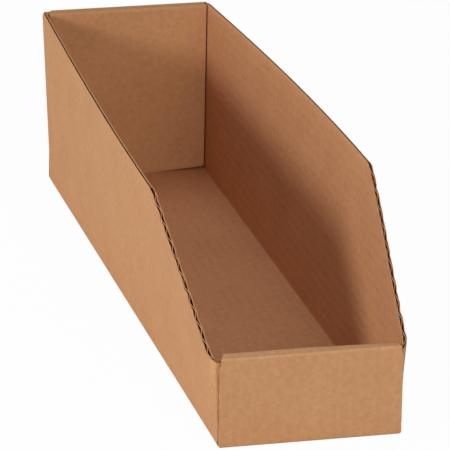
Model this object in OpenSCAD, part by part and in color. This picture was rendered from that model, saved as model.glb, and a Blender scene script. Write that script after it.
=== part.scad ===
// Open shelf bin box, folded from one die-cut blank of single-wall corrugated board.
// The floor carries two side walls with sloping front edges. At each end a panel goes up
// from the floor, rolls over the side walls' end flaps and locks into a slot in the floor.
// +Y runs from the low front lip to the tall back, +Z is up, and the origin is on the
// surface the box stands on, under the middle of its floor.

/* [Inside sizes] */
// Clear length between the inner front panel and the inner back panel
inside_l = 457.2; // [250:0.1:600]
// Clear width between the side walls at the floor
inside_w = 101.6; // [80:0.1:200]
// Clear height of the side and back walls above the floor
inside_h = 114.3; // [80:0.1:200]
// Height of the front lip above the floor
lip_inside_h = 51.3; // [30:0.1:60]
// Distance from the front to the upper end of the left wall's sloping edge
left_slope_run = 116; // [70:1:180]
// Distance from the front to the upper end of the right wall's sloping edge
right_slope_run = 138; // [70:1:180]

/* [Board] */
// Thickness of the board
board_t = 3; // [2.6:0.1:4]
// Thickness of each liner sheet
liner_t = 0.4; // [0.3:0.05:0.5]
// Thickness of the fluted sheet between the liners
medium_t = 0.3; // [0.2:0.05:0.4]
// Distance from one flute to the next
flute_pitch = 6.4; // [5:0.1:9]

/* [Folds] */
// Outside radius of a fold
fold_r = 1.6; // [0.8:0.1:2.4]
// Clearance between boards that lie against each other
lay_gap = 0.3; // [0.2:0.05:0.6]
// Clearance between an inner panel and a side wall
side_gap = 1; // [0.5:0.1:2]
// Wider gap beside the left end of the front lip, where it is cut back
lip_cut_gap = 6.5; // [1:0.1:8]
// Gap between the edges of two end flaps behind one panel
flap_gap = 10; // [4:1:40]
// Radius of the outer panels' free corners
corner_r = 2; // [1:0.5:4]
// Length of the rounding where the sloping edge meets the level top edge
slope_blend = 3; // [1:0.5:8]

/* [Locking tabs] */
// Width of the locking tab below each inner panel
tab_w = 42; // [20:1:60]
// Clearance round a tab in its slot
slot_gap = 0.5; // [0.3:0.1:1.5]
// Rise of an inner panel's lower edge from the tab to the corner
shoulder_rise = 2; // [0:0.5:5]
// Radius of an inner panel's lower corners
shoulder_r = 5; // [2:0.5:10]

/* [Spread of the open walls, measured at their full height] */
// Spread of the left wall at its fold behind the front panel, which holds it in
left_fold_spread = 2.5; // [0:0.5:6]
// Spread of the right wall at its fold behind the front panel
right_fold_spread = 4; // [0:0.5:6]
// Distance from the front folds over which the walls are drawn in to them
draw_in_reach = 10; // [6:1:30]
// Spread of the left wall where it is no longer drawn in
left_front_spread = 12; // [0:0.5:15]
// Spread of the right wall where it is no longer drawn in
right_front_spread = 10.5; // [0:0.5:15]
// Spread of the left wall at the upper end of its sloping edge
left_spread = 14; // [0:0.5:25]
// Spread of the right wall at the upper end of its sloping edge
right_spread = 18.5; // [0:0.5:25]
// Spread of the left wall at the back
left_back_spread = 5.5; // [0:0.5:8]
// Spread of the right wall at the back
right_back_spread = 0; // [0:0.5:8]

/* [Hidden] */
kraft = "#c08c5e";
$fn = 32;

// Outside sizes
box_w = inside_w + 2 * board_t;
end_stack = 3 * board_t + 2 * lay_gap;
box_l = inside_l + 2 * end_stack;
box_h = inside_h + board_t;
lip_h = lip_inside_h + board_t;

// The side walls run between the outer end panels, and their front ends reach up under the lip
wall_front = board_t + lay_gap;
wall_back = box_l - wall_front;
low_v = lip_inside_h - board_t - lay_gap;

// Each wall as its slope run and its spreads near the front, at the upper corner, at the back and
// at its front fold
left_wall = [left_slope_run, left_front_spread, left_spread, left_back_spread, left_fold_spread];
right_wall = [right_slope_run, right_front_spread, right_spread, right_back_spread, right_fold_spread];
function run_of(wall) = wall[0];

// Flutes: the wave's half height, and half a void's width on its liner as a share of the pitch
wave_a = (board_t - 2 * liner_t - medium_t) / 2;
void_half = 0.42;
// Places along the wave where a void's outline has its points, as shares of the pitch
void_steps = [0.25, 0.09, -0.09, -0.25];
// Depth of the groove where an edge is cut along a flute
groove_d = 1.6;
// Board left between the groove in a wall's top edge and the flute below it
edge_web = 0.6;
// Height above the floor at which a wall's outer face leaves its bottom fold
fold_v = 1;
// How far an end flap reaches into the rounded end of its wall
flap_reach = (board_t - fold_r) / 2;
// Largest radius of a bottom fold, as a share of the board that the upright fold leaves beside it
largest_fold = 0.95;
// Overrun of cutting shapes past the surface they cut
slack = 1;

// Steps of the swept walls: where they are drawn in, along the slope, along the level edge, up the
// height and round a bottom fold
draw_in_steps = 3;
front_steps = 3;
back_steps = 7;
wall_rows = 6;
fold_steps = 4;

// How far a wall is drawn in at distance y from the front
function draw_in(y, wall) =
    (wall[1] - wall[4]) * pow(max(0, 1 - max(0, y - wall_front) / draw_in_reach), 2);

// Spread of a wall at distance y from the front
function spread(y, wall) =
    let (run = run_of(wall))
    y < run
        ? wall[1] - draw_in(y, wall)
            + (wall[2] - wall[1]) * sin(90 * max(0, y - wall_front) / (run - wall_front))
        : wall[3] + (wall[2] - wall[3]) * sin(90 * max(0, wall_back - y) / (wall_back - run));

// Tilt of a wall about its bottom fold
function tilt(y, wall) = asin(spread(y, wall) / inside_h);

// A point of a wall: y along the box, u out from the inner face, v up from the floor
function wall_point(y, u, v, wall) =
    let (a = tilt(y, wall))
    [inside_w / 2 + v * sin(a) + u * cos(a), y, board_t + v * cos(a) - u * sin(a)];

// Rise of the sloping edge for each unit along the box
function slope_rate(wall) = (inside_h - low_v) / (run_of(wall) - wall_front);

// Height of a wall's top edge above the floor, with its corner rounded by a parabola
function edge_v(y, wall) =
    let (run = run_of(wall), rate = slope_rate(wall))
    y <= run - slope_blend
        ? low_v + rate * (y - wall_front)
        : y >= run + slope_blend
            ? inside_h
            : inside_h - rate * pow(run + slope_blend - y, 2) / (4 * slope_blend);

// Distance from the front at which the sloping edge reaches height v
function slope_y(v, wall) = wall_front + (v - low_v) / slope_rate(wall);

// Turns round an upright fold at which it has a section, and their distances from the wall's end
end_turns = [0, 45, 90];
fold_stations = [for (a = end_turns) fold_r * (1 - cos(a))];

// What an upright fold's rounding takes off the outer face at distance d from the wall's end
function rounded_off(d) = fold_r - sqrt(pow(fold_r, 2) - pow(max(0, fold_r - max(0, d)), 2));

// Distances from the front at which a wall has a section
function stations(wall) =
    let (
        open = wall_front + draw_in_reach,
        foot = run_of(wall) - slope_blend,
        crown = run_of(wall) + slope_blend,
        folded = wall_front + fold_r,
        last = wall_back - fold_r
    )
    concat(
        [for (d = fold_stations) wall_front + d],
        [for (i = [1:draw_in_steps]) folded + (open - folded) * i / draw_in_steps],
        [for (i = [1:front_steps]) open + (foot - open) * i / front_steps],
        [for (k = [-1, 1]) run_of(wall) + k * slope_blend / 3],
        [for (i = [0:back_steps]) crown + (last - crown) * i / back_steps],
        [for (i = [len(end_turns) - 2:-1:0]) wall_back - fold_stations[i]]
    );

// The stations between two distances from the front
function stations_between(wall, a, b) = [for (y = stations(wall)) if (y > a && y < b) y];

// Middle of a ring of points
function middle(ring) = [for (k = [0:2]) [for (p = ring) p[k]] * [for (p = ring) 1 / len(ring)]];

// Solid swept through rings with equal numbers of points, closed round the middle of each end
module sweep(rings) {
    n = len(rings[0]);
    m = len(rings);
    first = n * m;
    sides = [for (j = [0:m - 2], i = [0:n - 1])
        let (a = j * n + i, b = j * n + (i + 1) % n)
        each [[a, b, b + n], [a, b + n, a + n]]];
    ends = [for (i = [0:n - 1])
        each [[first, (i + 1) % n, i], [first + 1, first - n + i, first - n + (i + 1) % n]]];
    polyhedron(
        points = concat([for (r = rings) each r], [middle(rings[0]), middle(rings[m - 1])]),
        faces = concat(sides, ends),
        convexity = 6
    );
}

// Waste outside a round corner of a flat outline, with the sheet at -X and -Y
module corner_waste(r) {
    translate([-r, -r])
        difference() {
            square(r + slack);
            circle(r);
        }
}

// Waste outside a rounded edge that runs along X across the box, with the solid at +Y and -Z
module cross_edge_waste(r) {
    reach = box_w / 2 + left_front_spread;
    translate([-reach, 0, 0])
        rotate([90, 0, 90])
            mirror([1, 0, 0])
                linear_extrude(2 * reach)
                    corner_waste(r);
}

// Section of a wall with its bottom fold, as a ring round the board. The outer face is rounded off
// near both ends, where the end flaps are folded in
function wall_ring(y, wall) =
    let (top = edge_v(y, wall), off = rounded_off(min(y - wall_front, wall_back - y)))
    concat(
        [[inside_w / 2, y, 0]],
        [for (i = [0:fold_steps])
            let (a = -90 + 90 * i / fold_steps, r = min(fold_r, largest_fold * (board_t - off)))
            [box_w / 2 - off - r + r * cos(a), y, r + r * sin(a)]],
        [for (j = [0:wall_rows]) wall_point(y, board_t - off, max(fold_v, top * j / wall_rows), wall)],
        [for (j = [wall_rows:-1:0]) wall_point(y, 0, top * j / wall_rows, wall)]
    );

// Void beside the wave as [along the wave, out from the inner face], wide on the outer liner
// or on the inner one
function void_outline(outer) =
    let (
        shape = concat(
            [for (k = [-1, 1]) [k * void_half * flute_pitch, board_t / 2 - liner_t]],
            [for (s = void_steps) [s * flute_pitch, medium_t / 2 - wave_a * cos(360 * s)]]
        ),
        last = len(shape) - 1
    )
    outer
        ? [for (p = shape) [p[0], board_t / 2 + p[1]]]
        : [for (i = [last:-1:0]) [shape[i][0], board_t / 2 - shape[i][1]]];

// One flute void along a wall at height v, from beyond the sloping edge to short of the back fold
module wall_flute(v, outer, wall) {
    start = slope_y(v - void_half * flute_pitch, wall) - 2 * slack;
    finish = wall_back - 2 * board_t;
    ring_ys = concat([start], stations_between(wall, start + slack, finish - slack), [finish]);
    sweep([for (y = ring_ys)
        [for (p = void_outline(outer)) wall_point(y, p[1], v + p[0], wall)]]);
}

// Outline of the groove left where the edge of a board is cut along a flute, as [out, into the board]
groove_outline = [
    [liner_t, slack], [liner_t, -groove_d / 2], [board_t / 2, -groove_d],
    [board_t - liner_t, -groove_d / 2], [board_t - liner_t, slack]
];

// Groove along the level top edge of a wall
module top_groove(wall) {
    start = run_of(wall) - slope_blend;
    finish = wall_back - board_t;
    ring_ys = concat([start], stations_between(wall, run_of(wall) + slope_blend - slack, finish), [finish]);
    sweep([for (y = ring_ys)
        [for (p = groove_outline) wall_point(y, p[0], inside_h + p[1], wall)]]);
}

// Groove down a cut edge of an end panel, for a board at -X that is board_t deep along Y
module edge_groove(l) {
    linear_extrude(l)
        polygon([for (p = groove_outline) [p[1], p[0]]]);
}

// A side wall with its bottom fold, the groove in its top edge and the flutes that its slope opens
module side_wall(wall) {
    first_v = inside_h - groove_d - edge_web - void_half * flute_pitch;
    last_flute = floor(2 * (first_v - low_v) / flute_pitch) - 1;
    difference() {
        sweep([for (y = stations(wall)) wall_ring(y, wall)]);
        top_groove(wall);
        for (k = [0:last_flute])
            wall_flute(first_v - k * flute_pitch / 2, k % 2 == 0, wall);
    }
}

// End flap folded in from the wall's end at distance y from the front, under a rolled top of
// height top. Its rear face is at distance rear
module end_flap(y, rear, top, wall) {
    low = lay_gap;
    high = top - 2 * board_t - lay_gap;
    outer_low = wall_point(y, flap_reach, low, wall);
    outer_high = wall_point(y, flap_reach, high, wall);
    translate([0, rear, 0])
        rotate([90, 0, 0])
            linear_extrude(board_t)
                polygon([
                    [flap_gap / 2, board_t + low], [outer_low[0], board_t + low],
                    [outer_high[0], board_t + high], [flap_gap / 2, board_t + high]
                ]);
}

// A side wall with both end flaps
module flapped_wall(wall) {
    side_wall(wall);
    end_flap(wall_front, wall_front + board_t, lip_h, wall);
    end_flap(wall_back, wall_back, box_h, wall);
}

// Outer panel of an end: the full width, with round corners and a groove down each cut edge
module outer_panel(top) {
    difference() {
        translate([0, board_t, 0])
            rotate([90, 0, 0])
                linear_extrude(board_t)
                    difference() {
                        translate([-box_w / 2, 0])
                            square([box_w, top]);
                        for (side = [0, 1])
                            mirror([side, 0]) {
                                translate([box_w / 2, top])
                                    corner_waste(corner_r);
                                translate([box_w / 2, 0])
                                    mirror([0, 1])
                                        corner_waste(corner_r);
                            }
                    }
        for (side = [0, 1])
            mirror([side, 0, 0])
                translate([box_w / 2, 0, 2 * corner_r])
                    edge_groove(top - 4 * corner_r);
    }
}

// Half width of a roll's inner panel at height v, beside a wall, at distance y from the front
function inner_half(y, v, wall, gap) = wall_point(y, 0, v, wall)[0] - gap;

// Half outline of the strip over an end, from its outer crease to its inner one
function strip_half(y, top, wall, gap) =
    let (
        outer = box_w / 2 - corner_r / 2,
        inner = inner_half(y, top - board_t, wall, gap),
        wall_end = y < box_l / 2 ? wall_front : wall_back,
        beside = inner_half(wall_end, top - board_t, wall, side_gap),
        along = outer + (inner - outer) * board_t / end_stack
    )
    [[outer, 0], [min(along, beside), board_t], [inner, end_stack]];

// Strip over the top of an end
module top_strip(y, top, left_gap) {
    right = strip_half(y, top, right_wall, side_gap);
    left = strip_half(y, top, left_wall, left_gap);
    translate([0, 0, top - board_t])
        linear_extrude(board_t)
            polygon(concat(right, [for (i = [2:-1:0]) [-left[i][0], left[i][1]]]));
}

// Right half of an inner panel, cut with its rounded lower corner and half of the locking tab
module inner_half_panel(y, top, wall, gap) {
    foot = board_t + lay_gap;
    corner_z = foot + shoulder_rise;
    corner_x = inner_half(y, corner_z - board_t, wall, side_gap);
    difference() {
        polygon([
            [0, foot], [tab_w / 2, foot], [corner_x, corner_z],
            [inner_half(y, top - board_t, wall, gap), top], [0, top]
        ]);
        translate([corner_x, corner_z])
            mirror([0, 1])
                corner_waste(shoulder_r);
    }
    translate([0, lay_gap])
        square([tab_w / 2, foot]);
}

// Inner panel of an end, with its locking tab down through the floor
module inner_panel(y, top, left_gap) {
    translate([0, end_stack, 0])
        rotate([90, 0, 0])
            linear_extrude(board_t)
                union() {
                    inner_half_panel(y, top, right_wall, side_gap);
                    mirror([1, 0])
                        inner_half_panel(y, top, left_wall, left_gap);
                }
}

// One end rolled over: outer panel, strip and inner panel, with rounded creases
// Its inner panel stands at distance y from the front of the box
module rolled_end(y, top, left_gap) {
    difference() {
        union() {
            outer_panel(top);
            top_strip(y, top, left_gap);
            inner_panel(y, top, left_gap);
        }
        translate([0, 0, top])
            cross_edge_waste(fold_r);
        translate([0, end_stack, top])
            mirror([0, 1, 0])
                cross_edge_waste(fold_r);
        mirror([0, 0, 1])
            cross_edge_waste(fold_r);
    }
}

// Slot in the floor that takes a locking tab
module tab_slot() {
    translate([-tab_w / 2 - slot_gap, end_stack - board_t - slot_gap, -slack])
        cube([tab_w + 2 * slot_gap, board_t + 2 * slot_gap, board_t + 2 * slack]);
}

// Turns what is modelled for the front end round to the back end
module at_back() {
    translate([0, box_l, 0])
        mirror([0, 1, 0])
            children();
}

// Floor between the bottom folds, with a slot near each end
module floor_panel() {
    difference() {
        translate([-inside_w / 2, board_t, 0])
            cube([inside_w, box_l - 2 * board_t, board_t]);
        tab_slot();
        at_back()
            tab_slot();
    }
}

module bin_box() {
    color(kraft)
        translate([0, -box_l / 2, 0])
            union() {
                floor_panel();
                flapped_wall(right_wall);
                mirror([1, 0, 0])
                    flapped_wall(left_wall);
                rolled_end(end_stack, lip_h, lip_cut_gap);
                at_back()
                    rolled_end(box_l - end_stack, box_h, side_gap);
            }
}

bin_box();
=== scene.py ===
import math
import bpy
import bmesh
from mathutils import Matrix, Vector, noise


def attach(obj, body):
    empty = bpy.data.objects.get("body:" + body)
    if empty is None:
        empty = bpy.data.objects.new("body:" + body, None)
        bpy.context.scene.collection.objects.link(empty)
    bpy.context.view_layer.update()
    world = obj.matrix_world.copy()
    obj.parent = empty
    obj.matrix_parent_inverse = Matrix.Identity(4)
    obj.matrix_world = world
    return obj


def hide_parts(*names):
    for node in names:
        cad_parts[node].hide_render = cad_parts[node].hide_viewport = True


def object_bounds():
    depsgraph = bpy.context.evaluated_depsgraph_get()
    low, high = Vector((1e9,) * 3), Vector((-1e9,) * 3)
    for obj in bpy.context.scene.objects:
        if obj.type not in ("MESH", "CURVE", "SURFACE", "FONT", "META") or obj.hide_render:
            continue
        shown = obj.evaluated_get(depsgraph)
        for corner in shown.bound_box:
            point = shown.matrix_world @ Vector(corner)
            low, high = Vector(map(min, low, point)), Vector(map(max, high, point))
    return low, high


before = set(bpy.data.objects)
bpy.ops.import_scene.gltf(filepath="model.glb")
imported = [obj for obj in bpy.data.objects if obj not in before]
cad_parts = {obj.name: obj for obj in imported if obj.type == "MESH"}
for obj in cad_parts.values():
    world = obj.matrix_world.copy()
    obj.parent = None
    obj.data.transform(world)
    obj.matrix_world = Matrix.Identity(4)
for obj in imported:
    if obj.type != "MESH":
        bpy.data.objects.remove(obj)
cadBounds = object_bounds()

# Open shelf bin box of natural kraft corrugated board. +Y runs from the low lip to the tall back.
# The board is made up as the real one is: an outside liner, a fluted sheet and an inside liner, each
# folded from the same flat blank. Points are worked out in millimetres, the meshes are in metres.

mm = 0.001
smallest = 0.01    # mm, below which a distance counts as none

# Sizes of the box, as the solid has them
box = {
    "insideLength": 457.2,
    "insideWidth": 101.6,
    "insideHeight": 114.3,
    "lipInsideHeight": 51.3,
    "board": 3.0,
    "liner": 0.4,
    "medium": 0.3,
    "flutePitch": 6.4,
    "foldRadius": 1.6,
    "creaseRadius": 0.5,  # on the inside of a fold
    "layGap": 0.3,
    "sideGap": 1.0,
    "lipCutGap": 6.5,
    "flapGap": 10.0,
    "cornerRadius": 2.0,
    "slopeBlend": 3.0,
    "tabWidth": 42.0,
    "slotGap": 0.5,
    "shoulderRise": 2.0,
    "shoulderRadius": 5.0,
    "drawInReach": 10.0,
}

# Each wall's slope run, and its spreads at full height: at the front fold, which holds it in, close behind
# it, at the upper corner of the slope and at the back
leftWall = {"side": -1, "run": 116.0, "fold": 5.0, "front": 12.0, "corner": 14.0, "back": 5.5}
rightWall = {"side": 1, "run": 138.0, "fold": 4.0, "front": 10.5, "corner": 18.5, "back": 0.0}

board = box["board"]
halfWidth = box["insideWidth"] / 2
outerHalf = halfWidth + board
endStack = 3 * board + 2 * box["layGap"]
boxLength = box["insideLength"] + 2 * endStack
boxHeight = box["insideHeight"] + board
lipHeight = box["lipInsideHeight"] + board
wallFront = board + box["layGap"]
wallBack = boxLength - wallFront
lowEdge = box["lipInsideHeight"] - board - box["layGap"]
tabHalf = box["tabWidth"] / 2
slotHalf = tabHalf + box["slotGap"]
slotNear = endStack - board - box["slotGap"]
slotFar = endStack + box["slotGap"]
panelFoot = board + box["layGap"]

# Lines where the parts of the blank are joined: the floor's last line before an end fold, its side line
# before a wall's fold, the height where a wall's flat starts, and a wall's last upright line
foldLeg = 1.0    # flat board that is kept beside a fold
jointY = 5.0
jointX = halfWidth - foldLeg
wallFoot = foldLeg
flapJoint = wallFront + board + foldLeg
foldSteps = 6
foldCells = foldSteps + 2


def lerp(a, b, f):
    return a + (b - a) * f


def spaced(a, b, count):
    return [lerp(a, b, i / count) for i in range(count + 1)]


# Places on the folded box. y is the distance from the front. depth runs from 0 on the inside face of the
# board to its thickness on the outside face


def spread(y, wall):
    if y < wall["run"]:
        behind = max(0.0, y - wallFront)
        drawnIn = (wall["front"] - wall["fold"]) * max(0.0, 1 - behind / box["drawInReach"]) ** 2
        part = behind / (wall["run"] - wallFront)
        return lerp(wall["front"], wall["corner"], math.sin(math.pi / 2 * part)) - drawnIn
    part = max(0.0, wallBack - y) / (wallBack - wall["run"])
    return lerp(wall["back"], wall["corner"], math.sin(math.pi / 2 * part))


def wallPoint(y, depth, v, wall):
    tilt = math.asin(spread(y, wall) / box["insideHeight"])
    x = halfWidth + v * math.sin(tilt) + depth * math.cos(tilt)
    return Vector((wall["side"] * x, y, board + v * math.cos(tilt) - depth * math.sin(tilt)))


def slopeRate(wall):
    return (box["insideHeight"] - lowEdge) / (wall["run"] - wallFront)


def edgeHeight(y, wall):
    blend = box["slopeBlend"]
    if y <= wall["run"] - blend:
        return lowEdge + slopeRate(wall) * max(0.0, y - wallFront)
    if y >= wall["run"] + blend:
        return box["insideHeight"]
    return box["insideHeight"] - slopeRate(wall) * (wall["run"] + blend - y) ** 2 / (4 * blend)


def foldRadiusAt(depth):
    return lerp(box["creaseRadius"], box["foldRadius"], depth / board)


# A fold from start to end round a corner, as the points of an arc with the two ends
def foldPoints(start, corner, end, radius):
    toStart = (start - corner).normalized()
    toEnd = (end - corner).normalized()
    angle = toStart.angle(toEnd)
    reach = radius / math.tan(angle / 2)
    centre = corner + (toStart + toEnd).normalized() * radius / math.sin(angle / 2)
    a = corner + toStart * reach - centre
    b = corner + toEnd * reach - centre
    turn = math.pi - angle
    arc = [centre + (a * math.sin((1 - f) * turn) + b * math.sin(f * turn)) / math.sin(turn)
           for f in spaced(0, 1, foldSteps)]
    return [start] + arc + [end]


def pathLength(points):
    return sum((b - a).length for a, b in zip(points, points[1:]))


# Blank coordinates for a row of points, by their share of the row's length
def measured(points, first, last):
    lengths = [0.0]
    for a, b in zip(points, points[1:]):
        lengths.append(lengths[-1] + (b - a).length)
    return [lerp(first, last, l / lengths[-1]) for l in lengths]


# Cut edges. The board is pressed thinner there, most where it is cut along its flutes. An edge cut across
# the flutes is ragged, and its liner dips, more or less, between the flutes that hold it up
edgeLook = {
    "pressed": 0.02,      # share of the thickness lost at a slope's edge
    "nipped": 0.42,       # share lost at a level edge
    "closed": 0.8,        # share lost at the top of an end flap
    "pressedReach": 2.4,  # mm
    "nippedAfter": 6.0,   # mm behind the slope's corner
    "burr": 0.55,         # mm that the inside liner's cut edge is spread by the knife
    "slopeBurr": 0.08,
    "burrReach": 0.8,
    "dip": 0.45,          # mm
    "dipReach": 2.0,
    "dipSize": 4.0,       # mm from one loose spot to the next
    "dipLeast": 0.35,     # how far the liner dips at the least, as a share
    "dipMore": 2.2,       # and how much more at a loose spot
    "ragged": 0.28,       # mm, along a slope
    "wavy": 0.10,         # mm, along a straight cut
    "raggedSize": 2.2,
    "panelRagged": 0.5,   # mm, along the upright edges of the outer panels
    "panelRaggedSize": 1.7,
    "panelTorn": 0.5,     # share of a slope's fibres that stand on those edges
    "panelTornFrom": 3.0, # mm above the floor and below the top
    "creaseWearAndHighlight": 0.75,   # share of the paler tone that a crease shows: stretched fibres, with a painted highlight on the fold
    "stripHighlight": 0.95,    # share that the lip's strip shows: a painted highlight, as the strip faces up to the light
    "lipDrop": 1.1,       # mm
    "seed": 11.0,
}
edgeRows = (0.34, 0.64, 0.86, 1.0)    # where the last rows of a wall lie, from the flap's top to the cut


# Noise from -1 to 1 with the given size. Other places on the y axis give other edges
def uneven(x, y, size, seed=0.0):
    return noise.noise(Vector((x / size, y / size, edgeLook["seed"] + seed)))


def pressedDepth(depth, fromEdge, share):
    near = max(0.0, 1 - fromEdge / edgeLook["pressedReach"])
    return lerp(depth, board / 2, share * near * near)


# From 0 on the slope to 1 on the level edge
def levelPart(y, wall):
    return min(1.0, max(0.0, (y - wall["run"]) / edgeLook["nippedAfter"]))


def pressedShare(y, wall):
    return lerp(edgeLook["pressed"], edgeLook["nipped"], levelPart(y, wall))


# Heights of a wall's rows at y: even ones up to the flap's top, then close ones to the cut edge
def wallHeights(top, rows):
    last = top - board - box["layGap"]
    low = [lerp(wallFoot, last, f) for f in rows]
    return low + [lerp(last, top, f) for f in edgeRows]


# 1 on the outside liner, -1 on the inside one
def faceAt(depth):
    return 1 if depth > board / 2 else -1


def wallEdgeAt(y, depth, wall):
    cut = edgeLook["ragged"] if y < wall["run"] else edgeLook["wavy"]
    return edgeHeight(y, wall) + cut * uneven(y, 7.0 * faceAt(depth), edgeLook["raggedSize"], wall["side"])


# One upright row of a wall, from its foot to its cut edge, as points and places across the blank
def wallRow(y, depth, wall, rows):
    top = wallEdgeAt(y, depth, wall)
    level = edgeHeight(y, wall)
    face = faceAt(depth)
    heights = wallHeights(top, rows)
    points = []
    for v in heights:
        fromEdge = top - v
        inBoard = pressedDepth(depth, fromEdge, pressedShare(y, wall))
        if y < wall["run"] and fromEdge < edgeLook["dipReach"]:
            wave = math.cos(2 * math.pi * (halfWidth + level) / box["flutePitch"])
            between = 0.5 * (1 - face * wave)
            spot = abs(uneven(level, 9.0 * face, edgeLook["dipSize"], wall["side"]))
            dip = edgeLook["dip"] * between * (edgeLook["dipLeast"] + edgeLook["dipMore"] * spot)
            inBoard -= face * dip * (1 - fromEdge / edgeLook["dipReach"])
        if 0 < depth < board / 2 and fromEdge < edgeLook["burrReach"]:
            burr = lerp(edgeLook["slopeBurr"], edgeLook["burr"], levelPart(y, wall))
            inBoard += burr * (1 - fromEdge / edgeLook["burrReach"])
        points.append(wallPoint(y, inBoard, v, wall))
    return points, [wall["side"] * (halfWidth + v) for v in heights]


def bottomFold(y, depth, wall):
    side = wall["side"]
    tilt = math.asin(spread(y, wall) / box["insideHeight"])
    corner = wallPoint(y, depth, depth * (math.sin(tilt) - 1) / math.cos(tilt), wall)
    start = Vector((side * jointX, y, board - depth))
    points = foldPoints(start, corner, wallPoint(y, depth, wallFoot, wall), foldRadiusAt(depth))
    return points, measured(points, side * jointX, side * (halfWidth + wallFoot))


# The floor with both walls, as one row of points for each distance from the front
def troughGrid(ys, columns, rows, depth):
    grid, blank = [], []
    for y in ys:
        rightUp, rightU = wallRow(y, depth, rightWall, rows)
        leftUp, leftU = wallRow(y, depth, leftWall, rows)
        rightFold, rightFoldU = bottomFold(y, depth, rightWall)
        leftFold, leftFoldU = bottomFold(y, depth, leftWall)
        floor = [Vector((x, y, board - depth)) for x in columns]
        grid.append(leftUp[::-1] + leftFold[::-1][1:] + floor[1:-1] + rightFold[:-1] + rightUp)
        across = leftU[::-1] + leftFoldU[::-1][1:] + columns[1:-1] + rightFoldU[:-1] + rightU
        blank.append([(u, y) for u in across])
    return grid, blank


# Says which cells of the trough are board: not the slots, nor what belongs to the end folds
def troughCell(ys, columns, rows):
    wallCells = len(rows) + len(edgeRows) - 1

    def isBoard(i, j):
        y = (ys[i] + ys[i + 1]) / 2
        fromEnd = min(y, boxLength - y)
        if j < wallCells or j >= wallCells + 2 * foldCells + len(columns) - 1:
            return fromEnd > flapJoint
        k = j - wallCells - foldCells
        if k < 0 or k >= len(columns) - 1:
            return True
        inSlot = slotNear < fromEnd < slotFar and abs(columns[k] + columns[k + 1]) / 2 < slotHalf
        return fromEnd > jointY and not inSlot

    return isBoard


# An end flap with its upright fold. It stands behind the outer panel of the front or the back end
def flapGrid(atBack, wall, rows, stations, depth):
    def place(y):
        return boxLength - y if atBack else y

    side = wall["side"]
    plane = place(wallFront + board - depth)
    grid, blank = [], []
    starts = wallRow(place(flapJoint), depth, wall, rows)
    top = box["insideHeight"] if atBack else lowEdge
    heights = wallHeights(top, rows)
    for j, v in enumerate(heights):
        inBoard = pressedDepth(depth, heights[-1] - v, edgeLook["closed"])
        corner = wallPoint(plane, inBoard, v, wall)
        flat = abs(wallPoint(plane, 0, v, wall).x) - foldLeg
        end = Vector((side * flat, plane, corner.z))
        points = foldPoints(starts[0][j], corner, end, foldRadiusAt(depth))
        past = min(flat, stripEnd(wall)) if atBack else flat
        points += [Vector((side * lerp(past, box["flapGap"] / 2, f), plane, board + v)) for f in stations]
        grid.append(points)
        along = measured(points, 0, pathLength(points))
        joint = place(flapJoint)
        blank.append([(starts[1][j], joint + l if atBack else joint - l) for l in along])
    return grid, blank


# Where the back strip ends beside a wall
def stripEnd(wall):
    return stripHalf(True, wallFront, boxHeight, wall) + box["layGap"]


# A back flap ends under the rolled strip. Only its fold, and what lies beyond the strip, goes up as high as
# the wall
def flapCell(atBack, rows, wall):
    leansOut = abs(wallPoint(wallBack, 0, box["insideHeight"], wall).x) - foldLeg > stripEnd(wall)
    highCells = foldCells + 1 if leansOut else foldCells - 1

    def isBoard(i, j):
        return not atBack or i < len(rows) - 1 or j < highCells

    return isBoard


# Half width of an outer panel at height z, with its round corners
def outerPanelHalf(z, top):
    radius = box["cornerRadius"]

    def inset(fromEdge):
        gone = max(0.0, radius - max(0.0, fromEdge))
        return radius - math.sqrt(max(0.0, radius * radius - gone * gone))

    return outerHalf - inset(z) - min(radius / 2, inset(top - z))


def innerPanelHalf(atBack, z, top, wall):
    y = boxLength - endStack if atBack else endStack
    wide = box["lipCutGap"] if wall["side"] < 0 and not atBack else box["sideGap"]
    gap = lerp(box["sideGap"], wide, max(0.0, z - panelFoot) / (top - panelFoot))
    return abs(wallPoint(y, 0, z - board, wall).x) - gap


# Lower edge of an inner panel at x, rising to a round corner beside the wall
def innerPanelFoot(x, corner):
    out = max(0.0, abs(x) - tabHalf)
    rise = box["shoulderRise"] * out / (corner - tabHalf)
    radius = box["shoulderRadius"]
    over = min(radius, max(0.0, abs(x) - (corner - radius)))
    return panelFoot + rise + radius - math.sqrt(radius * radius - over * over)


# A column's x where the roll is half wide, with the middle of the panel kept straight
def columnX(column, half):
    if abs(column) <= slotHalf:
        return column
    out = (abs(column) - slotHalf) / (jointX - slotHalf)
    return math.copysign(lerp(slotHalf, half, out), column)


# How the rows of a rolled end are laid out
rollRows = {
    "linerRow": 1.3,      # mm, height of a row of a liner
    "fluteRow": 6.0,      # and of the fluted sheet, which runs straight there
    "stripSteps": 4,
    "creaseReach": 4.0,   # mm below the top where the last crease begins
    "tabReach": 12.0,     # mm above the table where the inner panel's foot begins
    "insideLeg": 1.2,     # mm from a crease's corner to the strip's flat, inside and outside
    "outsideLeg": 2.5,
    "footRows": (0.3, 0.6, 0.8, 1.0),
}


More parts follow.
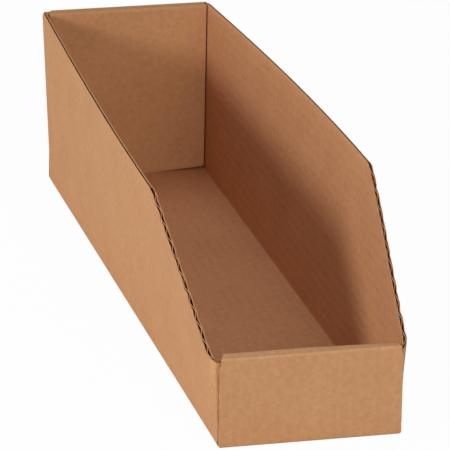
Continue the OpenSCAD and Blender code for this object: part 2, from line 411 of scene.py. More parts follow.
# The board that rolls over one end: fold, outer panel, strip and inner panel with its locking tab
def rollGrid(atBack, columns, depth, rowHeight, inset=0.0):
    top = boxHeight if atBack else lipHeight
    radius = foldRadiusAt(depth)
    near = board - depth
    high = top - board + depth
    far = endStack - board + depth
    turnZ = top - rollRows["creaseReach"]
    lowZ = rollRows["tabReach"]
    upSteps = round((turnZ - jointY) / rowHeight)

    def flat(y, z):
        return Vector((0, y, z))

    leg = lerp(rollRows["insideLeg"], rollRows["outsideLeg"], depth / board)
    bottom = foldPoints(flat(jointY, near), flat(near, near), flat(near, jointY), radius)
    outer = [flat(near, z) for z in spaced(jointY, turnZ, upSteps)]
    crease = foldPoints(flat(near, turnZ), flat(near, high), flat(near + leg, high), radius)
    strip = [flat(y, high) for y in spaced(near + leg, far - leg, rollRows["stripSteps"])]
    inner = foldPoints(flat(far - leg, high), flat(far, high), flat(far, turnZ), radius)
    down = [flat(far, z) for z in spaced(turnZ, lowZ, upSteps)]
    path = bottom[:-1] + outer[:-1] + crease[:-1] + strip + inner[1:-1] + down
    firstStrip = len(bottom) + len(outer) - 2
    shows = 0.0 if atBack else 1.0    # the paler tone and its painted highlight go on the front lip only; the back's creases are sharp
    # Over each crease the paler tone is stretched fibres plus a painted highlight, strongest at the middle
    # of the fold
    bend = [0.0] + [shows * edgeLook["creaseWearAndHighlight"] * math.sin(math.pi * f) for f in spaced(0, 1, foldSteps)]
    wornAndLit = [0.0] * firstStrip + bend + [shows * edgeLook["stripHighlight"]] * len(strip) + bend[1:]
    wornAndLit += [0.0] * (len(path) + len(rollRows["footRows"]) + 1 - len(wornAndLit))
    firstInner = firstStrip + len(crease) - 1 + len(strip) + len(inner) - 2
    along = measured(path, jointY, jointY - pathLength(path))
    grid, blank = [], []
    for i, p in enumerate(path):
        halves = []
        for wall in (leftWall, rightWall):
            if i < firstStrip:
                half = outerPanelHalf(max(0.0, p.z - near), top)
                if p.z - near < smallest:
                    half = lerp(half, jointX, max(0.0, p.y - near - radius) / (jointY - near - radius))
                spot = abs(uneven(p.z, p.y + 9 * depth, edgeLook["panelRaggedSize"], wall["side"]))
                half -= edgeLook["panelRagged"] * spot
            elif i >= firstInner:
                half = innerPanelHalf(atBack, p.z, top, wall)
            else:
                half = stripHalf(atBack, p.y, top, wall)
            halves.append(half - inset)
        xs = [columnX(c, halves[0] if c < 0 else halves[1]) for c in columns]
        grid.append([Vector((x, p.y, p.z - rollDrop(atBack, x, p, top))) for x in xs])
        blank.append([(x, along[i]) for x in xs])
    shoulder = panelFoot + box["shoulderRise"]
    corners = [innerPanelHalf(atBack, shoulder, top, wall) for wall in (leftWall, rightWall)]
    base = along[-1]
    for f in rollRows["footRows"]:
        row, place = [], []
        for c in columns:
            corner = corners[0] if c < 0 else corners[1]
            x = columnX(c, corner - inset)
            z = lerp(lowZ, innerPanelFoot(x, corner), f)
            row.append(Vector((x, far, z)))
            place.append((x, base - (lowZ - z)))
        grid.append(row)
        blank.append(place)
    row = [Vector((p.x, far, box["layGap"])) for p in grid[-1]]
    blank.append([(x, v - panelFoot + box["layGap"]) for x, v in blank[-1]])
    grid.append(row)
    if atBack:
        grid = [[Vector((p.x, boxLength - p.y, p.z)) for p in row] for row in grid]
        blank = [[(u, boxLength - v) for u, v in row] for row in blank]
    return grid, blank, wornAndLit


def rollCell(rowCount, columns):
    def isBoard(i, j):
        return i < rowCount - 2 or abs(columns[j] + columns[j + 1]) / 2 < tabHalf

    return isBoard


# The strip between the two creases is pulled down towards the inner one at the right end of the lip
def rollDrop(atBack, x, p, top):
    if atBack or x < 0:
        return 0.0
    part = min(1.0, max(0.0, (p.y - board) / (endStack - 2 * board)))
    return edgeLook["lipDrop"] * part * x / outerHalf * p.z / top


def stripHalf(atBack, y, top, wall):
    start = outerHalf - box["cornerRadius"] / 2
    inner = innerPanelHalf(atBack, top, top, wall)
    beside = abs(wallPoint(wallBack if atBack else wallFront, 0, top - board, wall).x) - box["sideGap"]
    middle = min(lerp(start, inner, board / endStack), beside)
    if y < board:
        return lerp(start, middle, max(0.0, y) / board)
    return lerp(middle, inner, min(1.0, (y - board) / (endStack - board)))


# A sheet is gathered from grids of points. Points in the same place become one
def newSheet():
    return {"near": [], "far": [], "wornAndLit": [], "index": {}, "quads": [], "blank": []}


def addGrid(sheet, near, far, blank, isBoard, wornAndLit=None):
    def pointAt(i, j):
        p = near[i][j]
        key = tuple(round(c, 3) for c in p)
        if key not in sheet["index"]:
            sheet["index"][key] = len(sheet["near"])
            sheet["near"].append(p)
            sheet["far"].append(far[i][j])
            sheet["wornAndLit"].append(wornAndLit[i] if wornAndLit else 0.0)
        return sheet["index"][key]

    for i in range(len(near) - 1):
        for j in range(len(near[0]) - 1):
            if not isBoard(i, j):
                continue
            ring = ((i, j), (i + 1, j), (i + 1, j + 1), (i, j + 1))
            corners = [pointAt(*c) for c in ring]
            if len(set(corners)) < 4:
                continue
            sheet["quads"].append(corners)
            sheet["blank"].append([blank[a][b] for a, b in ring])


# How many torn fibres stand on the cut edge at p: all along the slopes, fewer on the outer panels' sides
def tornAt(p):
    wall = leftWall if p.x < 0 else rightWall
    if flapJoint < p.y < wall["run"] and p.z > lowEdge:
        return 1.0
    clear = edgeLook["panelTornFrom"]
    onPanel = min(p.y, boxLength - p.y) < board and clear < p.z < boxHeight - clear
    return edgeLook["panelTorn"] if onPanel else 0.0


sharpAngle = 40.0    # degrees, from which a bend is shaded as an edge


# Both faces of a sheet with its cut edge, closed all round. Slot 0 is the face, slot 1 the cut edge
def sheetMesh(name, sheet, materials):
    count = len(sheet["near"])
    verts = [toMetres(p) for p in sheet["near"] + sheet["far"]]
    edges = {}
    for corners in sheet["quads"]:
        for a, b in zip(corners, corners[1:] + corners[:1]):
            edge = frozenset((a, b))
            edges[edge] = edges.get(edge, 0) + 1
    faces = [list(c) for c in sheet["quads"]]
    places = [list(b) for b in sheet["blank"]]
    faces += [[c + count for c in reversed(q)] for q in sheet["quads"]]
    places += [list(reversed(b)) for b in sheet["blank"]]
    whole = len(faces)
    torn = [0.0] * whole
    for corners, blank in zip(sheet["quads"], sheet["blank"]):
        for k in range(4):
            a, b = corners[k], corners[(k + 1) % 4]
            if edges[frozenset((a, b))] > 1:
                continue
            faces.append([b, a, a + count, b + count])
            places.append([blank[(k + 1) % 4], blank[k], blank[k], blank[(k + 1) % 4]])
            torn.append(tornAt(sheet["near"][a]))
    mesh = bpy.data.meshes.new(name)
    mesh.from_pydata(verts, [], faces)
    uv = mesh.uv_layers.new(name="blank")
    flat = [c * mm for place in places for pair in place for c in pair]
    uv.data.foreach_set("uv", flat)
    mesh.polygons.foreach_set("material_index", [0] * whole + [1] * (len(faces) - whole))
    mesh.polygons.foreach_set("use_smooth", [True] * len(faces))
    # Carries the paler tone of the creases and the lip's strip, which is partly a painted highlight
    mesh.attributes.new("wornAndLit", "FLOAT", "POINT").data.foreach_set("value", sheet["wornAndLit"] * 2)
    mesh.attributes.new("torn", "FLOAT", "FACE").data.foreach_set("value", torn)
    for material in materials:
        mesh.materials.append(material)
    work = bmesh.new()
    work.from_mesh(mesh)
    bmesh.ops.recalc_face_normals(work, faces=work.faces)
    work.to_mesh(mesh)
    work.free()
    mesh.set_sharp_from_angle(angle=math.radians(sharpAngle))
    return addObject(name, mesh)


# The frame's origin is under the middle of the floor
def toMetres(p):
    return (p.x * mm, (p.y - boxLength / 2) * mm, p.z * mm)


def addObject(name, data):
    made = bpy.data.objects.new(name, data)
    bpy.context.scene.collection.objects.link(made)
    return made


# Colours are sRGB hex, turned to linear here
def paint(hexCode):
    channels = [int(hexCode[i:i + 2], 16) / 255 for i in (1, 3, 5)]
    return [c / 12.92 if c <= 0.04045 else ((c + 0.055) / 1.055) ** 2.4 for c in channels] + [1.0]


# Adds a node. Settings are its own properties. Inputs go by name or number, and are values, sockets, or
# nodes that give their first output
def addNode(tree, kind, inputs=None, **settings):
    node = tree.nodes.new(kind)
    for name, value in settings.items():
        setattr(node, name, value)
    for name, value in (inputs or {}).items():
        if isinstance(value, bpy.types.Node):
            value = value.outputs[0]
        if isinstance(value, bpy.types.NodeSocket):
            tree.links.new(value, node.inputs[name])
        else:
            node.inputs[name].default_value = value
    return node


def newMaterial(name):
    material = bpy.data.materials.new(name)
    material.use_nodes = True
    material.node_tree.nodes.clear()
    return material, material.node_tree


# Natural kraft linerboard, machine finished: matt, with a quiet cloudy tone, short fibres across the
# flutes, a fine grain, and the flutes behind it showing as faint broken lines along the board.
# Sizes are in mm. A share says how much of the tone a pattern moves, or how strong a mark is. A mark
# begins where its noise reaches its from value, and is full at its to value
kraft = {
    "outside": {"pale": "#d19e72", "deep": "#b98357", "lines": 0.08, "seed": 3.0},
    "inside": {"pale": "#d29a70", "deep": "#ba7f56", "lines": 0.42, "seed": 57.0},
    "clouds": {"size": 40.0, "share": 0.5},
    "mottle": {"size": 3.6, "share": 0.9},
    "grain": {"size": 0.7, "share": 0.7},
    "fibre": {"tone": "#e0b98c", "from": 0.6, "to": 0.85, "share": 0.3},
    "fibreLength": 3.0,
    "fibreWidth": 0.45,     # drawn wider than a real fibre, so that it shows
    "fleck": {"tone": "#7d5433", "from": 0.7, "to": 0.82, "share": 0.45},
    "fleckSize": 1.0,
    "wornAndLit": {"tone": "#f0bb8c", "from": 0.3, "to": 0.65, "share": 0.55},    # paler creases and lip strip: stretched fibres, with a painted highlight where they face the light
    "wornAndLitSize": 1.2,
    "line": {"from": 0.45, "to": 0.7},    # where the line of a flute isn't broken
    "lineBreak": 22.0,      # length of its unbroken pieces
    "lineCrest": 0.6,       # height on the wave above which it darkens the sheet
    "lineWander": 1.2,      # how far, in radians, it strays
    "roughness": 0.72,
    "sheen": 0.08,          # specular level: paper has little
    "washboard": 0.03,      # depth of the waves
    "relief": 0.04,         # height of the fibres
}


# Noise from 0 to 1 with the given sizes along the three axes, in the units of place
def scaledNoise(tree, place, sizes, detail):
    scaled = addNode(tree, "ShaderNodeMapping", {"Vector": place, "Scale": [1 / size for size in sizes]})
    return addNode(tree, "ShaderNodeTexNoise", {"Vector": scaled, "Scale": 1.0, "Detail": detail})


# Adds patterns that run from 0 to 1 to a tone of one half, each by its share
def toneOf(tree, parts):
    total = 0.5 - sum(share for pattern, share in parts) / 2
    for pattern, share in parts:
        total = addNode(tree, "ShaderNodeMath", {0: pattern, 1: share, 2: total}, operation="MULTIPLY_ADD")
    return addNode(tree, "ShaderNodeClamp", {"Value": total})


# Dark lines, from 0 to 1, where the crests of the flutes press on the sheet, and the wave itself
def fluteLines(tree, place, clouds):
    across = addNode(tree, "ShaderNodeSeparateXYZ", {"Vector": place})
    stray = addNode(tree, "ShaderNodeMath", {0: clouds, 1: kraft["lineWander"]}, operation="MULTIPLY")
    perWave = 2 * math.pi / box["flutePitch"]
    phase = addNode(tree, "ShaderNodeMath", {0: across, 1: perWave, 2: stray}, operation="MULTIPLY_ADD")
    wave = addNode(tree, "ShaderNodeMath", {0: phase}, operation="COSINE")
    crest = addNode(tree, "ShaderNodeMapRange", {"Value": wave, "From Min": kraft["lineCrest"]})
    broken = scaledNoise(tree, place, [box["flutePitch"], kraft["lineBreak"], 1], 2.0)
    shown = addNode(tree, "ShaderNodeMapRange", {
        "Value": broken, "From Min": kraft["line"]["from"], "From Max": kraft["line"]["to"]})
    return addNode(tree, "ShaderNodeMath", {0: crest, 1: shown}, operation="MULTIPLY"), wave


def kraftLiner(name, look):
    material, tree = newMaterial(name)
    blank = addNode(tree, "ShaderNodeUVMap", uv_map="blank")
    place = addNode(tree, "ShaderNodeMapping", {
        "Vector": blank, "Scale": [1 / mm] * 3, "Location": (0, 0, look["seed"])})
    clouds = scaledNoise(tree, place, [kraft["clouds"]["size"]] * 3, 2.0)
    mottle = scaledNoise(tree, place, [kraft["mottle"]["size"]] * 3, 3.0)
    grain = scaledNoise(tree, place, [kraft["grain"]["size"]] * 3, 2.0)
    fibres = scaledNoise(tree, place, [kraft["fibreLength"], kraft["fibreWidth"], 1], 2.0)
    flecks = scaledNoise(tree, place, [kraft["fleckSize"]] * 3, 1.0)
    wornAndLitNoise = scaledNoise(tree, place, [kraft["wornAndLitSize"]] * 3, 3.0)
    lines, wave = fluteLines(tree, place, clouds)
    paler = addNode(tree, "ShaderNodeMath", {0: 1.0, 1: lines}, operation="SUBTRACT")
    tone = toneOf(tree, [
        (clouds, kraft["clouds"]["share"]), (mottle, kraft["mottle"]["share"]),
        (grain, kraft["grain"]["share"]), (paler, look["lines"])])
    mixed = addNode(tree, "ShaderNodeMix", {
        0: tone, 6: paint(look["deep"]), 7: paint(look["pale"])}, data_type="RGBA")

    # The creases and the lip's strip are paler: partly stretched fibres, partly a painted highlight
    wornAndLit = addNode(tree, "ShaderNodeAttribute", attribute_name="wornAndLit").outputs["Fac"]
    wornAndLitShare = addNode(tree, "ShaderNodeMath", {0: wornAndLit, 1: kraft["wornAndLit"]["share"]}, operation="MULTIPLY")
    marks = [
        (fibres, kraft["fibre"], kraft["fibre"]["share"]),
        (flecks, kraft["fleck"], kraft["fleck"]["share"]),
        (wornAndLitNoise, kraft["wornAndLit"], wornAndLitShare)]
    for pattern, mark, most in marks:
        share = addNode(tree, "ShaderNodeMapRange", {
            "Value": pattern, "From Min": mark["from"], "From Max": mark["to"], "To Max": most})
        mixed = addNode(tree, "ShaderNodeMix", {
            0: share, 6: mixed.outputs[2], 7: paint(mark["tone"])}, data_type="RGBA")

    pressed = addNode(tree, "ShaderNodeMath", {0: wave, 1: kraft["washboard"]}, operation="MULTIPLY")
    height = addNode(tree, "ShaderNodeMath", {
        0: fibres, 1: kraft["relief"], 2: pressed}, operation="MULTIPLY_ADD")
    bump = addNode(tree, "ShaderNodeBump", {"Strength": 1.0, "Distance": mm, "Height": height})
    shader = addNode(tree, "ShaderNodeBsdfPrincipled", {
        "Base Color": mixed.outputs[2], "Normal": bump, "Roughness": kraft["roughness"],
        "Specular IOR Level": kraft["sheen"]})
    addNode(tree, "ShaderNodeOutputMaterial", {"Surface": shader})
    return material


# The papers that show only at cut edges. Sizes are in mm
cutLook = {"deep": "#b5734a", "pale": "#ebba8e", "grain": 1.3, "relief": 0.1, "roughness": 0.9}
mediumLook = {"deep": "#74300e", "pale": "#a04e1e", "grain": 2.5, "roughness": 0.85}


# Cut edge of a liner: torn paper fibre, paler and rougher than its face
def cutPaper():
    material, tree = newMaterial("cut kraft paper")
    place = addNode(tree, "ShaderNodeTexCoord").outputs["Object"]
    grain = scaledNoise(tree, place, [cutLook["grain"] * mm] * 3, 3.0)
    colour = addNode(tree, "ShaderNodeMix", {
        0: grain, 6: paint(cutLook["deep"]), 7: paint(cutLook["pale"])}, data_type="RGBA")
    bump = addNode(tree, "ShaderNodeBump", {
        "Strength": 1.0, "Distance": cutLook["relief"] * mm, "Height": grain})
    shader = addNode(tree, "ShaderNodeBsdfPrincipled", {
        "Base Color": colour.outputs[2], "Normal": bump, "Roughness": cutLook["roughness"],
        "Specular IOR Level": 0.0})
    addNode(tree, "ShaderNodeOutputMaterial", {"Surface": shader})
    return material


# Fluting medium: thin semi-chemical paper, darker, redder and duller than the liners
def flutingPaper():
    material, tree = newMaterial("fluting medium")
    place = addNode(tree, "ShaderNodeTexCoord").outputs["Object"]
    grain = scaledNoise(tree, place, [mediumLook["grain"] * mm] * 3, 4.0)
    colour = addNode(tree, "ShaderNodeMix", {
        0: grain, 6: paint(mediumLook["deep"]), 7: paint(mediumLook["pale"])}, data_type="RGBA")
    shader = addNode(tree, "ShaderNodeBsdfPrincipled", {
        "Base Color": colour.outputs[2], "Roughness": mediumLook["roughness"], "Specular IOR Level": 0.0})
    addNode(tree, "ShaderNodeOutputMaterial", {"Surface": shader})
    return material


outsideKraft = kraftLiner("outside kraft liner", kraft["outside"])
insideKraft = kraftLiner("inside kraft liner", kraft["inside"])
cutEdge = cutPaper()
medium = flutingPaper()
print("materials:", ", ".join(m.name for m in (outsideKraft, insideKraft, cutEdge, medium)))

# How close together the points of the liners lie
linerRows = {
    "wall": 18,
    "flap": 6,
    "inSlot": 8.6,       # mm from an end, a row between the slot's two sides
    "slopeStep": 1.15,   # mm along the sloping edges, fine enough for their ragged cut
    "slope": 109,
    "level": 96,         # along the rest of the box
    "levelStart": 2.0,   # mm behind the last of the close rows
    "levelEnd": 3.0,     # mm before the back slot
}
# Columns across the floor and the rolls, closer together towards the walls
nearMiddle = [0.0, 7.0, 14.0, tabHalf, slotHalf, 27.0, 33.0]
nearWall = [38.5, 42.5, 45.0, 46.6, 47.8, 48.6, 49.3, jointX]
halfColumns = nearMiddle + nearWall
columns = [-c for c in halfColumns[:0:-1]] + halfColumns
wallShares = spaced(0, 1, linerRows["wall"])
frontYs = [wallFront, jointY, slotNear, flapJoint, linerRows["inSlot"], slotFar]
slopeYs = [slotFar + linerRows["slopeStep"] * k for k in range(1, linerRows["slope"] + 1)]
levelYs = spaced(slopeYs[-1] + linerRows["levelStart"], boxLength - slotFar - linerRows["levelEnd"],
                 linerRows["level"])
ys = frontYs + slopeYs + levelYs + [boxLength - y for y in reversed(frontYs)]


# Gathers one liner over the whole blank, from its shown face to the face that is glued to the flutes
def linerSheet(shown, glued):
    sheet = newSheet()
    near, blank = troughGrid(ys, columns, wallShares, shown)
    far = troughGrid(ys, columns, wallShares, glued)[0]
    addGrid(sheet, near, far, blank, troughCell(ys, columns, wallShares))
    stations = spaced(0, 1, linerRows["flap"])
    for atBack in (False, True):
        near, blank, wornAndLit = rollGrid(atBack, columns, shown, rollRows["linerRow"])
        far = rollGrid(atBack, columns, glued, rollRows["linerRow"])[0]
        addGrid(sheet, near, far, blank, rollCell(len(near), columns), wornAndLit)
        for wall in (leftWall, rightWall):
            near, blank = flapGrid(atBack, wall, wallShares, stations, shown)
            far = flapGrid(atBack, wall, wallShares, stations, glued)[0]
            addGrid(sheet, near, far, blank, flapCell(atBack, wallShares, wall))
    return sheet


outsideLiner = sheetMesh("outside_liner", linerSheet(board, board - box["liner"]), [outsideKraft, cutEdge])
print("outside liner:", len(outsideLiner.data.polygons), "faces")
insideLiner = sheetMesh("inside_liner", linerSheet(0.0, box["liner"]), [insideKraft, cutEdge])
print("inside liner:", len(insideLiner.data.polygons), "faces")

# The fluted sheet between the liners
flute = {
    "columnsPerWave": 7,
    "footGap": 0.3,       # mm from a wall's foot to the first column
    "recess": 0.6,        # mm that it lies back from an edge that is cut along the flutes
    "recessWander": 0.8,
    "wanderSize": 6.0,
    "edgeGap": 0.15,      # mm that it lies back from the rest of the cut
    "cutSize": 3.0,       # mm from one torn spot to the next on a slope
    "endThickness": 0.5,  # mm, where it is torn at a slope
    "endHeight": 0.85,    # share of the wave's height left there
    "endShares": [0, 0.004, 0.012, 0.025, 0.05, 0.09, 0.14],    # close rows behind a slope's cut
    "evenFrom": 0.2,      # share of a wall's length where its even rows begin
    "wallSteps": 24,
    "floorSteps": 6,
    "floorReach": 20.0,   # mm from an end where the floor's even rows begin
}
fluteStep = box["flutePitch"] / flute["columnsPerWave"]
waveHeight = (board - 2 * box["liner"] - box["medium"]) / 2
glueLines = (box["liner"], board - box["liner"])


# A flat middle sheet, with the board's normal and the place across the blank at each point
def middleSheet(name, patches):
    verts, faces, normals, across, ends = [], [], [], [], []
    thickness = board - 2 * box["liner"]
    for inner, outer, blank, isBoard, cutAtStart in patches:
        first = len(verts)
        wide = len(inner[0])
        for rowIn, rowOut, places in zip(inner, outer, blank):
            if cutAtStart:
                ends.append(len(verts))
            for a, b, place in zip(rowIn, rowOut, places):
                verts.append(toMetres((a + b) / 2))
                normals.append((b - a) / max(thickness, (b - a).length))
                across.append(place[0])
        for i in range(len(inner) - 1):
            for j in range(wide - 1):
                if isBoard(i, j):
                    k = first + i * wide + j
                    faces.append([k, k + wide, k + wide + 1, k + 1])
    for k in ends:
        normals[k] *= flute["endHeight"]
    mesh = bpy.data.meshes.new(name)
    mesh.from_pydata(verts, [], faces)
    mesh.attributes.new("boardNormal", "FLOAT_VECTOR", "POINT").data.foreach_set(
        "vector", [c for n in normals for c in n])
    mesh.attributes.new("across", "FLOAT", "POINT").data.foreach_set("value", across)
    mesh.materials.append(medium)
    mesh.materials.append(cutEdge)
    piece = addObject(name, mesh)
    piece.vertex_groups.new(name="cut end").add(ends, 1.0, "REPLACE")
    return piece


# Each part of the middle sheet is given by its two glued faces, their places on the blank, which cells are
# board, and whether its rows start at a cut


def wallFlutes(wall):
    steps = int((box["insideHeight"] - flute["recess"] - wallFoot) / fluteStep)
    heights = [wallFoot + flute["footGap"] + fluteStep * k for k in range(steps)]
    shares = flute["endShares"] + spaced(flute["evenFrom"], 1, flute["wallSteps"])
    grids, blank = ([], []), []
    for v in heights:
        cut = flapJoint if v < lowEdge else max(flapJoint, wallFront + (v - lowEdge) / slopeRate(wall))
        if cut > flapJoint:
            cut += edgeLook["ragged"] * uneven(v, 3.0, flute["cutSize"], 5 * wall["side"])
        line = [lerp(cut, boxLength - flapJoint, f) for f in shares]
        tops = []
        for y in line:
            limit = edgeHeight(y, wall) - flute["edgeGap"]
            if y > wall["run"]:
                back = flute["recess"] + flute["recessWander"] * abs(uneven(y, v, flute["wanderSize"]))
                limit = box["insideHeight"] - back
            tops.append(min(v, limit))
        for grid, depth in zip(grids, glueLines):
            row = []
            for y, up in zip(line, tops):
                inBoard = pressedDepth(depth, edgeHeight(y, wall) - up, pressedShare(y, wall))
                row.append(wallPoint(y, inBoard, up, wall))
            grid.append(row)
        blank.append([(halfWidth + up, y) for y, up in zip(line, tops)])
    return grids[0], grids[1], blank, lambda i, j: True, True


def fluteColumns():
    steps = int(jointX / fluteStep)
    half = sorted(set([fluteStep * k for k in range(steps + 1)] + [tabHalf, slotHalf]))
    return [-c for c in half[:0:-1]] + half


def floorFlutes():
    across = fluteColumns()
    reach = flute["floorReach"]
    lines = [jointY, slotNear, slotFar] + spaced(reach, boxLength - reach, flute["floorSteps"])
    lines += [boxLength - slotFar, boxLength - slotNear, boxLength - jointY]
    grids = [[[Vector((x, y, board - depth)) for x in across] for y in lines] for depth in glueLines]
    blank = [[(x, y) for x in across] for y in lines]

    def isBoard(i, j):
        y = (lines[i] + lines[i + 1]) / 2
        x = (across[j] + across[j + 1]) / 2
        return not (slotNear < min(y, boxLength - y) < slotFar and abs(x) < slotHalf)

    return grids[0], grids[1], blank, isBoard, False


def rollFlutes(atBack):
    across = fluteColumns()
    inner, blank = rollGrid(atBack, across, glueLines[0], rollRows["fluteRow"], flute["recess"])[:2]
    outer = rollGrid(atBack, across, glueLines[1], rollRows["fluteRow"], flute["recess"])[0]
    return inner, outer, blank, rollCell(len(inner), across), False


# Starts a Geometry Nodes tree with one output and named inputs. Gives the tree and its inputs
def newTree(name, output, inputs):
    tree = bpy.data.node_groups.new(name, "GeometryNodeTree")
    for title, kind in inputs.items():
        tree.interface.new_socket(title, in_out="INPUT", socket_type="NodeSocket" + kind)
    tree.interface.new_socket(output, in_out="OUTPUT", socket_type="NodeSocketGeometry")
    return tree, addNode(tree, "NodeGroupInput").outputs


# Presses a middle sheet into flutes
def fluteTree():
    tree, given = newTree("pressed flutes", "Flutes", {
        "Sheet": "Geometry", "Flute Pitch": "Float", "Wave Height": "Float", "Paper": "Material"})
    across = addNode(tree, "GeometryNodeInputNamedAttribute", {"Name": "across"}, data_type="FLOAT")
    normal = addNode(tree, "GeometryNodeInputNamedAttribute", {
        "Name": "boardNormal"}, data_type="FLOAT_VECTOR")
    turns = addNode(tree, "ShaderNodeMath", {0: across, 1: given["Flute Pitch"]}, operation="DIVIDE")
    phase = addNode(tree, "ShaderNodeMath", {0: turns, 1: 2 * math.pi}, operation="MULTIPLY")
    wave = addNode(tree, "ShaderNodeMath", {0: phase}, operation="COSINE")
    rise = addNode(tree, "ShaderNodeMath", {0: wave, 1: given["Wave Height"]}, operation="MULTIPLY")
    offset = addNode(tree, "ShaderNodeVectorMath", {0: normal, "Scale": rise}, operation="SCALE")
    moved = addNode(tree, "GeometryNodeSetPosition", {"Geometry": given["Sheet"], "Offset": offset})
    smooth = addNode(tree, "GeometryNodeSetShadeSmooth", {"Geometry": moved})
    real = addNode(tree, "GeometryNodeRealizeInstances", {"Geometry": smooth})
    made = addNode(tree, "GeometryNodeSetMaterial", {"Geometry": real, "Material": given["Paper"]})
    addNode(tree, "NodeGroupOutput", {"Flutes": made})
    return tree


# Puts a Geometry Nodes tree on a piece with its named inputs
def useTree(piece, tree, values):
    modifier = piece.modifiers.new(tree.name, "NODES")
    modifier.node_group = tree
    names = {item.name: item.identifier for item in tree.interface.items_tree if item.in_out == "INPUT"}
    for name, value in values.items():
        modifier[names[name]] = value


# Turns what the modifiers make into the piece's own mesh
def settle(piece):
    graph = bpy.context.evaluated_depsgraph_get()
    mesh = bpy.data.meshes.new_from_object(piece.evaluated_get(graph))
    piece.modifiers.clear()
    piece.data = mesh


# Torn fibres, drawn a little larger than real ones so that they show
tear = {
    "density": 7.0e6,          # to the square metre of cut edge
    "length": 0.55 * mm,
    "width": 0.07 * mm,
    "least": 0.3,              # size of the smallest, as a share of the largest
    "lean": (1.1, 1.1, 3.1),   # radians, either way
    "seed": 7,
}


# Leaves short torn fibres standing on the cut edges, and holds all of the sheet inside the box's own size
def fibreTree():
    tree, given = newTree("torn fibres", "Torn Sheet", {
        "Sheet": "Geometry", "Density": "Float", "Length": "Float", "Width": "Float", "Least": "Float",
        "Lean": "Vector", "Low": "Vector", "High": "Vector", "Seed": "Int", "Paper": "Material"})
    torn = addNode(tree, "GeometryNodeInputNamedAttribute", {"Name": "torn"}, data_type="FLOAT")
    density = addNode(tree, "ShaderNodeMath", {0: torn, 1: given["Density"]}, operation="MULTIPLY")
    points = addNode(tree, "GeometryNodeDistributePointsOnFaces", {
        "Mesh": given["Sheet"], "Density": density, "Seed": given["Seed"]})
    fibre = addNode(tree, "GeometryNodeMeshCone", {
        "Vertices": 3, "Radius Bottom": given["Width"], "Depth": given["Length"]})
    size = addNode(tree, "FunctionNodeRandomValue", {2: given["Least"], 3: 1.0, "Seed": given["Seed"]})
    placed = addNode(tree, "GeometryNodeInstanceOnPoints", {
        "Points": points, "Instance": fibre, "Rotation": points.outputs["Rotation"],
        "Scale": size.outputs[1]})
    back = addNode(tree, "ShaderNodeVectorMath", {0: given["Lean"], "Scale": -1.0}, operation="SCALE")
    lean = addNode(tree, "FunctionNodeRandomValue", {
        0: back, 1: given["Lean"], "Seed": given["Seed"]}, data_type="FLOAT_VECTOR")
    leant = addNode(tree, "GeometryNodeRotateInstances", {"Instances": placed, "Rotation": lean})
    real = addNode(tree, "GeometryNodeRealizeInstances", {"Geometry": leant})
    made = addNode(tree, "GeometryNodeSetMaterial", {"Geometry": real, "Material": given["Paper"]})
    both = addNode(tree, "GeometryNodeJoinGeometry", {"Geometry": given["Sheet"]})
    tree.links.new(made.outputs[0], both.inputs["Geometry"])
    place = addNode(tree, "GeometryNodeInputPosition")
    above = addNode(tree, "ShaderNodeVectorMath", {0: place, 1: given["Low"]}, operation="MAXIMUM")
    inside = addNode(tree, "ShaderNodeVectorMath", {0: above, 1: given["High"]}, operation="MINIMUM")
    held = addNode(tree, "GeometryNodeSetPosition", {"Geometry": both, "Position": inside})
    addNode(tree, "NodeGroupOutput", {"Torn Sheet": held})
    return tree


tornFibres = fibreTree()
for turn, sheet in enumerate((outsideLiner, insideLiner)):
    useTree(sheet, tornFibres, {
        "Density": tear["density"], "Length": tear["length"], "Width": tear["width"],
        "Least": tear["least"], "Lean": tear["lean"], "Low": cadBounds[0], "High": cadBounds[1],
        "Seed": tear["seed"] + turn, "Paper": cutEdge})
    settle(sheet)
    print(sheet.name, "with torn fibres:", len(sheet.data.polygons), "faces")

flutedSheet = middleSheet("fluted_sheet", [
    wallFlutes(leftWall), wallFlutes(rightWall), floorFlutes(), rollFlutes(False), rollFlutes(True)])
useTree(flutedSheet, fluteTree(), {
    "Flute Pitch": box["flutePitch"], "Wave Height": waveHeight * mm, "Paper": medium})
thick = flutedSheet.modifiers.new("paper thickness", "SOLIDIFY")
thick.thickness = flute["endThickness"] * mm
thick.vertex_group = "cut end"
thick.thickness_vertex_group = box["medium"] / flute["endThickness"]
thick.offset = 0.0
thick.material_offset_rim = 1
settle(flutedSheet)
print("fluted sheet:", len(flutedSheet.data.polygons), "faces")

for piece in (outsideLiner, insideLiner, flutedSheet):
    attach(piece, "root")
    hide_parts("bin_box")

# Studio: a pale floor that reads as white to the camera, two soft lights on the left, of which the low one
# reaches only the outside of the left wall, one in front, and weak ones on the right and overhead
studio = {
    "floorSize": 8.0,
    "floorDrop": 0.2 * mm,   # just clear of the box's underside, so that the two faces never mix
    "floorColour": "#f4f4f4",
    "floorWhite": 0.97,      # share of the floor's colour that takes no shadow
    "roomLight": 0.2,
    "aim": (0, 0, 0.05),     # where the lamps point
}
lamps = {
    "left_light": {"place": (-2.2, -0.95, 0.9), "size": 0.6, "power": 28.0},
    "low_left_light": {"place": (-2.2, 0.6, 0.25), "size": 0.6, "power": 7.0},
    "front_light": {"place": (0.0, -2.5, 1.0), "size": 1.0, "power": 19.0},
    "right_light": {"place": (0.9, -2.2, 1.2), "size": 0.8, "power": 5.5},
    "back_light": {"place": (0.0, 0.9, 2.4), "size": 1.4, "power": 9.5},
}


# 1 for what the camera, a mirror or glass sees, 0 for what lights the box
def directView(tree):
    path = addNode(tree, "ShaderNodeLightPath").outputs
    first = addNode(tree, "ShaderNodeMath", {
        0: path["Is Camera Ray"], 1: path["Is Glossy Ray"]}, operation="MAXIMUM")
    return addNode(tree, "ShaderNodeMath", {0: first, 1: path["Is Transmission Ray"]}, operation="MAXIMUM")


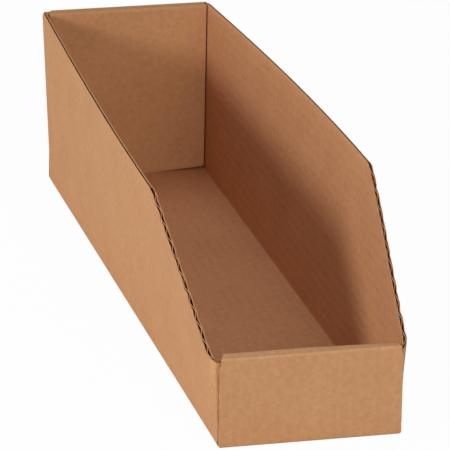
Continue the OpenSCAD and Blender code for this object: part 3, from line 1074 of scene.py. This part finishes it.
def makeFloor():
    material, tree = newMaterial("pale studio floor")
    paper = addNode(tree, "ShaderNodeBsdfDiffuse", {"Color": paint(studio["floorColour"])})
    white = addNode(tree, "ShaderNodeEmission", {"Color": (1, 1, 1, 1), "Strength": 1.0})
    share = addNode(tree, "ShaderNodeMath", {
        0: directView(tree), 1: studio["floorWhite"]}, operation="MULTIPLY")
    mixed = addNode(tree, "ShaderNodeMixShader", {0: share, 1: paper, 2: white})
    addNode(tree, "ShaderNodeOutputMaterial", {"Surface": mixed})
    half = studio["floorSize"] / 2
    level = -studio["floorDrop"]
    corners = [(-half, -half, level), (half, -half, level), (half, half, level), (-half, half, level)]
    mesh = bpy.data.meshes.new("studio_floor")
    mesh.from_pydata(corners, [], [[0, 1, 2, 3]])
    mesh.materials.append(material)
    floor = addObject("studio_floor", mesh)


def makeRoom():
    world = bpy.data.worlds.new("studio room")
    bpy.context.scene.world = world
    world.use_nodes = True
    tree = world.node_tree
    tree.nodes.clear()
    room = addNode(tree, "ShaderNodeBackground", {"Color": (1, 1, 1, 1), "Strength": studio["roomLight"]})
    white = addNode(tree, "ShaderNodeBackground", {"Color": (1, 1, 1, 1), "Strength": 1.0})
    mixed = addNode(tree, "ShaderNodeMixShader", {0: directView(tree), 1: room, 2: white})
    addNode(tree, "ShaderNodeOutputWorld", {"Surface": mixed})


def makeLamp(name, given):
    lamp = bpy.data.lights.new(name, "AREA")
    lamp.shape = "DISK"
    lamp.size = given["size"]
    lamp.energy = given["power"]
    place = Vector(given["place"])
    turn = (Vector(studio["aim"]) - place).to_track_quat("-Z", "Y").to_matrix().to_4x4()
    addObject(name, lamp).matrix_world = Matrix.Translation(place) @ turn


makeFloor()
makeRoom()
for lampName, given in lamps.items():
    makeLamp(lampName, given)
print("studio floor and room, with", len(lamps), "lamps")

# Camera where the photograph was taken from, turned by degrees to the right, down and over
view = {
    "place": (-0.5993, -2.4160, 0.9393),
    "yaw": 14.107,
    "pitch": 19.718,
    "roll": 0.919,
    "focalPixels": 4297.2,
    "imagePixels": 450,
    "sensor": 36.0,
    "reach": 50.0,    # metres that it sees
}


def makeCamera():
    yaw, pitch, roll = (math.radians(view[k]) for k in ("yaw", "pitch", "roll"))
    ahead = Vector((math.sin(yaw) * math.cos(pitch), math.cos(yaw) * math.cos(pitch), -math.sin(pitch)))
    level = Vector((math.cos(yaw), -math.sin(yaw), 0))
    upright = level.cross(ahead)
    right = level * math.cos(roll) + upright * math.sin(roll)
    up = upright * math.cos(roll) - level * math.sin(roll)
    lens = bpy.data.cameras.new("camera")
    lens.sensor_width = view["sensor"]
    lens.lens = view["focalPixels"] / view["imagePixels"] * view["sensor"]
    lens.clip_end = view["reach"]
    camera = addObject("camera", lens)
    turn = Matrix((right, up, -ahead)).transposed().to_4x4()
    camera.matrix_world = Matrix.Translation(view["place"]) @ turn
    bpy.context.scene.camera = camera


makeCamera()
bpy.context.scene.view_settings.view_transform = "Standard"
